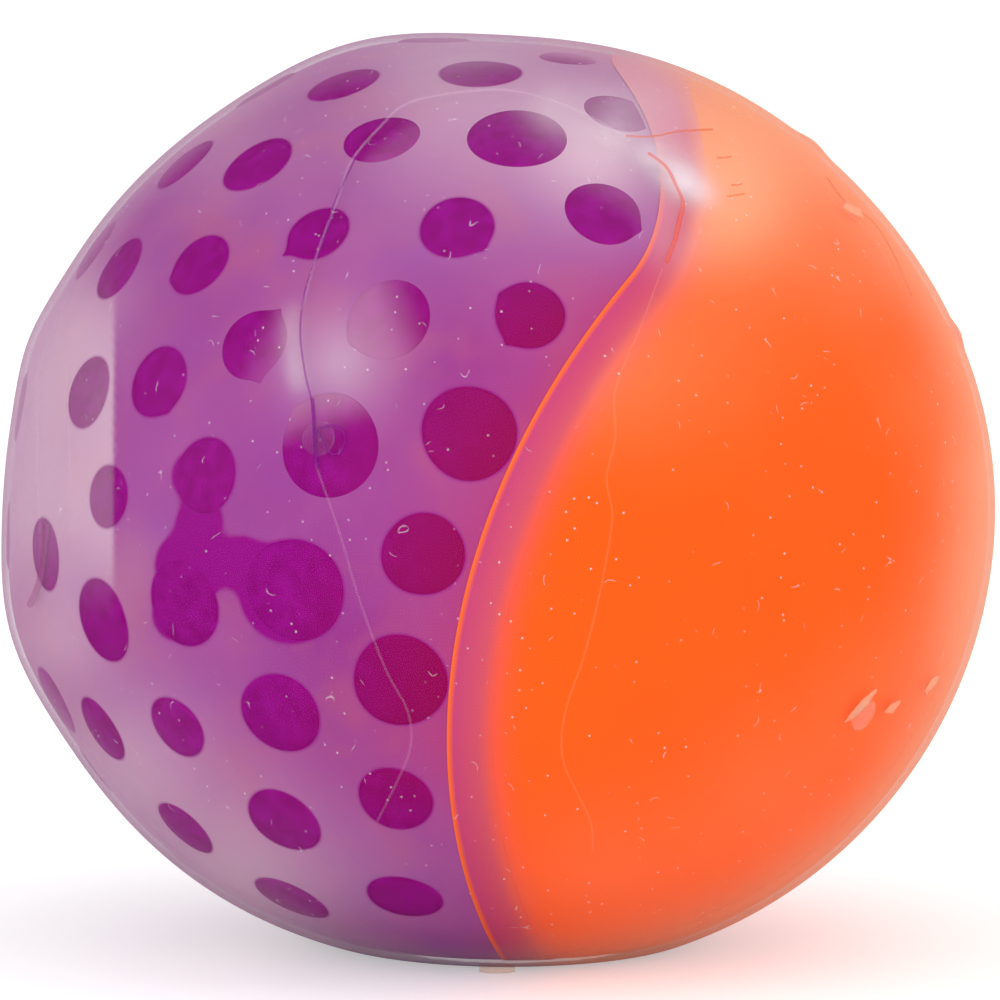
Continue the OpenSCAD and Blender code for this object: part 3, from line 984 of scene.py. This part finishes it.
def makeDivider():
    depth = layerDepth["divider"]
    thickness = dividerWall["thickness"]
    faceSteps, rimSteps = dividerLook["faceSteps"], dividerLook["rimSteps"]
    fineAcross = np.linspace(0, 1, dividerLook["acrossSteps"])

    def heldAcross(share):
        # The part of the wall's thickness that lies inside the skin there
        flat = np.array([dividerProfile(share, w * thickness) for w in fineAcross])
        section = ballCentre + np.column_stack([flat[:, 0], np.zeros(len(flat)), flat[:, 1]])
        margin = depthOf(section) - depth
        held = (margin > 0).nonzero()[0]
        if len(held) == 0:
            return None
        low, high = fineAcross[held[0]], fineAcross[held[-1]]
        step = fineAcross[1]
        if held[0] > 0:
            low -= step * margin[held[0]] / (margin[held[0]] - margin[held[0] - 1])
        if held[-1] < len(fineAcross) - 1:
            high += step * margin[held[-1]] / (margin[held[-1]] - margin[held[-1] + 1])
        return low, high

    ends = [share for share in np.linspace(0, 1, dividerLook["endSteps"]) if heldAcross(share)]
    ease = 0.5 - 0.5 * np.cos(np.linspace(0, math.pi, dividerLook["along"]))
    points, across = [], []
    rows = 0
    for share in ends[0] + (ends[-1] - ends[0]) * ease:
        held = heldAcross(share)
        if held is None:
            continue
        rimAcross = np.linspace(held[0], held[1], rimSteps + 1)
        flat = np.array([dividerProfile(share, w * thickness) for w in rimAcross])
        chord = np.maximum(halfChord(flat, depth), dividerLook["leastHalf"])
        loop = [(flat[k], -chord[k], rimAcross[k]) for k in range(rimSteps + 1)]
        loop += [(flat[-1], chord[-1] * (2 * k / faceSteps - 1), held[1]) for k in range(1, faceSteps)]
        loop += [(flat[k], chord[k], rimAcross[k]) for k in range(rimSteps, -1, -1)]
        loop += [(flat[0], chord[0] * (1 - 2 * k / faceSteps), held[0]) for k in range(1, faceSteps)]
        points.extend(ballCentre + [f[0], y, f[1]] for f, y, _ in loop)
        across.extend(w for _, _, w in loop)
        rows += 1
    count = len(loop)
    faces = [list(range(count))[::-1]]
    for r in range(rows - 1):
        a, b = r * count, (r + 1) * count
        for k in range(count):
            n = (k + 1) % count
            faces.append([a + k, a + n, b + n, b + k])
    faces.append(list(range((rows - 1) * count, rows * count)))
    piece = meshObject("divider", points, faces, dividerMaterial)
    piece.data.set_sharp_from_angle(angle=dividerLook["sharpAngle"])
    setAttribute(piece, "across", across)
    # the gel's paler places, with their painted reflection and painted light from below, reach over the
    # divider's gel side
    gelPaintedLight = np.clip(spread(np.array(points), gelLook["pale"]), 0, gelLook["mostPale"])
    setAttribute(piece, "pale", gelPaintedLight * softStep(0.5, 1, np.array(across)))
    milk = spread(np.array(points), dividerLook["milk"])
    setAttribute(piece, "milk", np.clip(milk, 0, dividerLook["mostMilk"]))
    dress(piece, "divider", "divider")


makeDivider()
print("divider ready")


# Skin: the clear outer face
def skinVeilAndHighlight(points):
    # milky air, and the painted highlights among its spots
    veilAndHighlight = skinLook["baseVeil"] + spread(points, skinLook["veilAndHighlight"])
    veilAndHighlight = veilAndHighlight + skinLook["loopVeil"] * loopHaze(points) + skinLook["bandVeil"] * leftBand(points)
    return np.clip(veilAndHighlight, 0, skinLook["mostVeil"])


def makeSkin():
    def veilSteps(dirs):
        return skinVeilAndHighlight(formPoints(dirs, 0))

    dirs, faces = refineGrid(gridDirs, gridFaces, veilSteps, skinLook["veilStep"], skinLook["veilRounds"])
    points = formPoints(dirs, 0)
    piece = meshObject("clearSkin", points, faces, skinRubber)
    setAttribute(piece, "veilAndHighlight", skinVeilAndHighlight(points))
    setAttribute(piece, "gelSide", overGel(points))
    dress(piece, "clear_skin", "skin")
    print("skin:", len(faces), "faces")


makeSkin()


# Lines that moulding and creasing left on the skin: fine ridges along a path
def makeLineRubber(name, code, cover):
    material, tree = newMaterial(name)
    surface = addNode(
        tree, "ShaderNodeBsdfPrincipled",
        {"Base Color": linear(code), "Roughness": 0.5, "Specular IOR Level": 0.1, "Alpha": cover},
    )
    finishMaterial(tree, surface.outputs["BSDF"])
    return material


lineFinish = {
    "milky": makeLineRubber("milkyWeldRubber", "F0DCEA", 0.08),       # thicker clear rubber catches light
    "faint": makeLineRubber("faintWeldRubber", "F0DCEA", 0.03),       # the same, thinner
    "violet": makeLineRubber("violetCreaseRubber", "8E1490", 0.4),    # a crease holds dyed liquid; along the weld its dark line is also a painted crease shadow
    "coral": makeLineRubber("coralCreaseRubber", "E8604C", 0.4),      # a crease glows with both colours
    "peach": makeLineRubber("peachWeldRubber", "FFAE80", 0.06),       # clear rubber over the gel, with a painted highlight along the line
    "flash": makeLineRubber("tornFlashRubber", "FFC8A4", 0.3),        # thin torn rubber catches light
    "shadeAndScratch": makeLineRubber("shadeAndScratchRubber", "E4703C", 0.35),       # painted shade in creases and along the torn flash's edge over the gel, and dark scratch dashes
    "rose": makeLineRubber("roseFoldRubber", "A8508C", 0.25),         # a fold at the far left
}
skinLines = {   # finish, half width in mm, path in mm across and up
    "weldFoot": ("faint", 0.1, weldLoop[3:11]),
    "weldTop": ("milky", 0.1, weldLoop[13:23]),
    "weldTail": ("peach", 0.09, weldLoop[25:]),
    "weldShade": ("violet", 0.08, [
        (-9.9, 24), (-11.3, 21), (-12, 18.7), (-12.8, 16.7), (-13.5, 14.5), (-13.8, 12), (-13.5, 9.2),
        (-13, 7), (-12.9, 5.3), (-12.8, 2.8),
    ]),
    "weldGlow": ("coral", 0.18, [
        (10.2, 24.2), (11.4, 23.3), (12.1, 22), (12.6, 20.8), (12.4, 19.7), (12.1, 18.4), (11.5, 16.8),
    ]),
    "sideCrease": ("shadeAndScratch", 0.08, [(8.7, 25.4), (10.5, 25.4), (12.4, 25.8), (14.7, 26)]),
    "dash1": ("shadeAndScratch", 0.06, [(15, 24), (15.5, 24), (16, 24.1)]),
    "dash2": ("shadeAndScratch", 0.06, [(16, 22.1), (16.4, 22.1), (16.7, 22.2)]),
    "dash3": ("shadeAndScratch", 0.06, [(15.7, 21.3), (16.3, 21.4), (16.9, 21.5)]),
    "flashLine": ("peach", 0.12, [
        (21.1, 24.5), (22.6, 22.8), (23.3, 21.3), (24.6, 20.3), (26, 19.2), (26.9, 17.7), (28.2, 15.2),
    ]),
    "flashEdge": ("shadeAndScratch", 0.08, [(22.9, 22.9), (24.2, 21.2), (26.2, 19.9), (27.6, 17.7), (28.9, 14.7)]),
    "foldLine1": ("faint", 0.12, [(-32.4, 11.6), (-32.5, 6), (-32.4, 1), (-32.2, -3.9)]),
    "foldLine2": ("faint", 0.1, [(-30.3, 10.2), (-30.2, 5), (-30, 0.4)]),
    "fold": ("rose", 0.25, [(-31.9, -1.5), (-32.1, -3.5), (-32.4, -5.4), (-33, -7)]),
    "scarLine": ("violet", 0.14, [(-13, 7.4), (-12.9, 5.6), (-12.8, 3.9), (-12.7, 2.5)]),
    "scarBubble": ("violet", 0.08, [
        (-12.6, 5.3), (-11.6, 5.5), (-10.9, 5.2), (-10.8, 4.2), (-11.3, 3.5), (-11.9, 3.7), (-12.4, 4.6),
        (-12.6, 5.2),
    ]),
}


def ridgeTree():
    tree = bpy.data.node_groups.new("skinRidge", "GeometryNodeTree")
    tree.interface.new_socket("Geometry", in_out="INPUT", socket_type="NodeSocketGeometry")
    sockets = {"Half Width": "NodeSocketFloat", "Step": "NodeSocketFloat", "Finish": "NodeSocketMaterial"}
    inputs = {
        name: tree.interface.new_socket(name, in_out="INPUT", socket_type=kind)
        for name, kind in sockets.items()
    }
    tree.interface.new_socket("Geometry", in_out="OUTPUT", socket_type="NodeSocketGeometry")
    given = addNode(tree, "NodeGroupInput")
    route = addNode(tree, "GeometryNodeMeshToCurve", {}, {"Mesh": given.outputs["Geometry"]})
    rounded = addNode(
        tree, "GeometryNodeCurveSplineType", {"spline_type": "CATMULL_ROM"}, {"Curve": route.outputs["Curve"]}
    )
    even = addNode(
        tree, "GeometryNodeResampleCurve", {"mode": "LENGTH"},
        {"Curve": rounded.outputs["Curve"], "Length": given.outputs["Step"]},
    )
    along = addNode(tree, "GeometryNodeSplineParameter").outputs["Factor"]
    toEnd = combine(tree, "MINIMUM", along, combine(tree, "SUBTRACT", 1, along))
    taper = remap(tree, toEnd, 0, 0.35, 0.05, 1)
    tapered = addNode(
        tree, "GeometryNodeSetCurveRadius", {},
        {"Curve": even.outputs["Curve"], "Radius": taper},
    )
    section = addNode(
        tree, "GeometryNodeCurvePrimitiveCircle", {"Resolution": 8}, {"Radius": given.outputs["Half Width"]}
    )
    ridge = addNode(
        tree, "GeometryNodeCurveToMesh", {"Fill Caps": True},
        {"Curve": tapered.outputs["Curve"], "Profile Curve": section.outputs["Curve"]},
    )
    real = addNode(tree, "GeometryNodeRealizeInstances", {}, {"Geometry": ridge.outputs["Mesh"]})
    dyed = addNode(
        tree, "GeometryNodeSetMaterial", {},
        {"Geometry": real.outputs["Geometry"], "Material": given.outputs["Finish"]},
    )
    addNode(tree, "NodeGroupOutput", {}, {"Geometry": dyed.outputs["Geometry"]})
    return tree, {name: socket.identifier for name, socket in inputs.items()}


ridgeGroup, ridgeInputs = ridgeTree()
lineStep = 0.4 * mm   # spacing of the points along a line


def makeLine(name, finish, halfWidth, path):
    points = formPoints(seenDirs(path), 0.5 * halfWidth * mm)
    mesh = bpy.data.meshes.new("route")
    mesh.from_pydata(points.tolist(), [(i, i + 1) for i in range(len(points) - 1)], [])
    carrier = bpy.data.objects.new("route", mesh)
    scene.collection.objects.link(carrier)
    grow = carrier.modifiers.new("ridge", "NODES")
    grow.node_group = ridgeGroup
    grow[ridgeInputs["Half Width"]] = halfWidth * mm
    grow[ridgeInputs["Step"]] = lineStep
    grow[ridgeInputs["Finish"]] = lineFinish[finish]
    piece = grown(name, carrier)
    piece.visible_shadow = False   # clear rubber this thin throws none
    dress(piece, "clear_skin")


for lineName, (finish, halfWidth, path) in skinLines.items():
    makeLine(lineName, finish, halfWidth, path)
print("skin lines ready:", len(skinLines))


# Fill seals: a welded plug on each side, with torn flash left round the gel side's
sealLook = {"radius": 1.2 * mm, "raise": 0.05 * mm, "depth": 0.1 * mm, "veilAndHighlight": 0.01, "around": 40}
flakeLook = {
    "thickness": 0.08 * mm,
    "sunk": 0.03 * mm,
    "bowed": 0.05 * mm,
    "flakes": [   # place in mm across and up, turn in degrees, outline in mm along, beside and lifted
        (25, -13.9, 52, [
            (-1.7, 0, 0), (-0.9, -0.4, 0.15), (0.3, -0.5, 0.3), (1.6, -0.2, 0.4), (1.5, 0.3, 0.6),
            (0.4, 0.45, 0.35), (-0.8, 0.35, 0.2),
        ]),
        (27.3, -14, 20, [
            (-0.8, -0.2, 0), (0, -0.6, 0.2), (0.8, -0.3, 0.1), (0.6, 0.4, 0.4), (-0.4, 0.5, 0.3),
        ]),
        (30, -12.5, 75, [
            (-0.8, -0.3, 0), (0.1, -0.6, 0.3), (0.8, -0.1, 0.5), (0.5, 0.5, 0.3), (-0.5, 0.4, 0.1),
        ]),
        (24.6, 20.6, -35, [
            (-1.2, -0.3, 0), (0, -0.5, 0.1), (1.2, -0.3, 0.1), (1, 0.4, 0.3), (-0.7, 0.4, 0.25),
        ]),
    ],
}


def makeSeal(name, node):
    low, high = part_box(node)
    middle = (np.array(low) + np.array(high)) / 2
    seal = {"dir": unit(middle - ballCentre)}
    count = sealLook["around"]
    angle = np.linspace(0, 2 * math.pi, count, endpoint=False)
    shares = (0.5, 0.85, 1, 1, 0.85)
    depths = (-1, -0.8, 0, 1, 1)
    points = [formPoints(seal["dir"][None], -sealLook["raise"])[0]]
    for share, depth in zip(shares, depths):
        away = sealLook["raise"] * depth if depth < 0 else sealLook["depth"] * depth
        points.extend(formPoints(spotDirs(seal, np.full(count, sealLook["radius"] * share), angle), away))
    points.append(formPoints(seal["dir"][None], sealLook["depth"])[0])
    piece = meshObject(name, points, ringFaces(0, len(shares), count), skinRubber)
    setAttribute(piece, "veilAndHighlight", np.full(len(points), sealLook["veilAndHighlight"]))
    setAttribute(piece, "gelSide", overGel(np.array(points)))
    dress(piece, "fill_seal", node)


def makeFlakes():
    points, faces = [], []
    for across, up, turn, outline in flakeLook["flakes"]:
        middle = seenDirs([(across, up)])[0]
        side, rise = spotFrame(middle)
        cosTurn, sinTurn = math.cos(math.radians(turn)), math.sin(math.radians(turn))
        rim = []
        for along, beside, lift in outline:
            right, high = along * cosTurn - beside * sinTurn, along * sinTurn + beside * cosTurn
            way = unit(middle * ballForm["halfWidth"] + (right * side + high * rise) * mm)
            rim.append(formPoints(way[None], flakeLook["sunk"] - lift * mm)[0])
        rim = np.array(rim)
        top = np.vstack([rim, rim.mean(0) - middle * flakeLook["bowed"]])
        first, count = len(points), len(rim)
        points.extend(top + middle * flakeLook["thickness"] / 2)
        points.extend(top - middle * flakeLook["thickness"] / 2)
        under = first + count + 1
        for k in range(count):
            n = (k + 1) % count
            faces.append([first + k, first + n, first + count])
            faces.append([under + n, under + k, under + count])
            faces.append([first + k, under + k, under + n, first + n])
    piece = meshObject("tornFlash", points, faces, lineFinish["flash"])
    dress(piece, "clear_skin")


# Gate nub: the stub where the skin's mould was filled, at the front of the foot
gateLook = {
    "across": -0.2 * mm, "halfWidth": 1.25 * mm, "front": -14 * mm, "back": -11.4 * mm,
    "low": 0.05 * mm, "height": 0.35 * mm,
}


def makeGate():
    left, right = gateLook["across"] - gateLook["halfWidth"], gateLook["across"] + gateLook["halfWidth"]
    front, back, high = gateLook["front"], gateLook["back"], gateLook["height"]
    tip = 0.5 * gateLook["halfWidth"]
    outline = [
        (left, back), (left, front + tip), (left + tip, front),
        (right - tip, front), (right, front + tip), (right, back),
    ]
    points = [(x, y, z) for z in (gateLook["low"], high) for x, y in outline]
    count = len(outline)
    faces = [list(range(count))[::-1], list(range(count, 2 * count))]
    faces += [[k, (k + 1) % count, count + (k + 1) % count, count + k] for k in range(count)]
    piece = meshObject("gateNub", points, faces, lineFinish["flash"])
    dress(piece, "clear_skin")


makeSeal("beadSeal", "bead_seal")
makeSeal("gelSeal", "gel_seal")
makeFlakes()
makeGate()
print("seals and flash ready")

# Floor, light and camera
studio = {
    "floorHalf": 12,                   # m
    "floorGlow": 0.4,
    "world": 0.8,
    "cameraDistance": 2.0,
    "frameWidth": 1000 / 14.17 * mm,   # the picture's pixels across, at so many to the mm
    "aimAbove": 0.35 * mm,
    "sensor": 36,
    "lamps": {   # place, size in m, power in W, whether the gloss shows it
        "topSoftbox": ((0.15, -0.1, 0.62), (0.5, 0.5), 0.5, True),
        "leftSoftbox": ((-0.6, -0.15, 0.2), (0.4, 0.36), 0.6, True),
        "rightSoftbox": ((0.6, -0.15, 0.2), (0.4, 0.36), 0.6, True),
        "frontFill": ((0, -1.2, 0.3), (0.5, 0.5), 0.5, False),
        "lowFill": ((0, -0.7, 0.05), (1.0, 0.09), 2.3, False),
    },
}


def makeStage():
    half = studio["floorHalf"]
    material, tree = newMaterial("paleFloor")
    path = addNode(tree, "ShaderNodeLightPath")
    seen = combine(tree, "MAXIMUM", path.outputs["Is Camera Ray"], path.outputs["Is Glossy Ray"])
    seenAll = combine(tree, "MAXIMUM", seen, path.outputs["Is Transmission Ray"])
    strength = combine(tree, "MULTIPLY", seenAll, studio["floorGlow"])
    paint = addNode(tree, "ShaderNodeBsdfDiffuse", {"Color": (0.8, 0.8, 0.8, 1)})
    glow = addNode(tree, "ShaderNodeEmission", {}, {"Strength": strength})
    both = addNode(tree, "ShaderNodeAddShader", {}, {0: paint.outputs["BSDF"], 1: glow.outputs["Emission"]})
    finishMaterial(tree, both.outputs["Shader"])
    corners = [(-half, -half, 0), (half, -half, 0), (half, half, 0), (-half, half, 0)]
    floor = meshObject("floor", np.array(corners, float), [[0, 1, 2, 3]], material)
    world = bpy.data.worlds.new("softRoom")
    world.use_nodes = True
    world.node_tree.nodes["Background"].inputs["Color"].default_value = (1, 1, 1, 1)
    world.node_tree.nodes["Background"].inputs["Strength"].default_value = studio["world"]
    scene.world = world


def addLamp(name, place, size, power, glossy):
    lamp = bpy.data.lights.new(name, "AREA")
    lamp.shape = "RECTANGLE"
    lamp.size, lamp.size_y = size
    lamp.energy = power
    holder = bpy.data.objects.new(name, lamp)
    scene.collection.objects.link(holder)
    holder.location = place
    aim = Vector(ballCentre) - Vector(place)
    holder.rotation_euler = aim.to_track_quat("-Z", "Y").to_euler()
    holder.visible_glossy = glossy


def addCamera():
    tilt = ballForm["viewTilt"]
    data = bpy.data.cameras.new("frontCamera")
    data.sensor_width = studio["sensor"]
    data.lens = studio["sensor"] * studio["cameraDistance"] / studio["frameWidth"]
    data.clip_end = 100
    camera = bpy.data.objects.new("frontCamera", data)
    scene.collection.objects.link(camera)
    away = Vector((0, -math.cos(tilt), math.sin(tilt))) * studio["cameraDistance"]
    camera.location = Vector(ballCentre) + Vector((0, 0, studio["aimAbove"])) + away
    camera.rotation_euler = (math.pi / 2 - tilt, 0, 0)
    scene.camera = camera


makeStage()
for lampName, lampFacts in studio["lamps"].items():
    addLamp(lampName, *lampFacts)
addCamera()
print("stage ready")
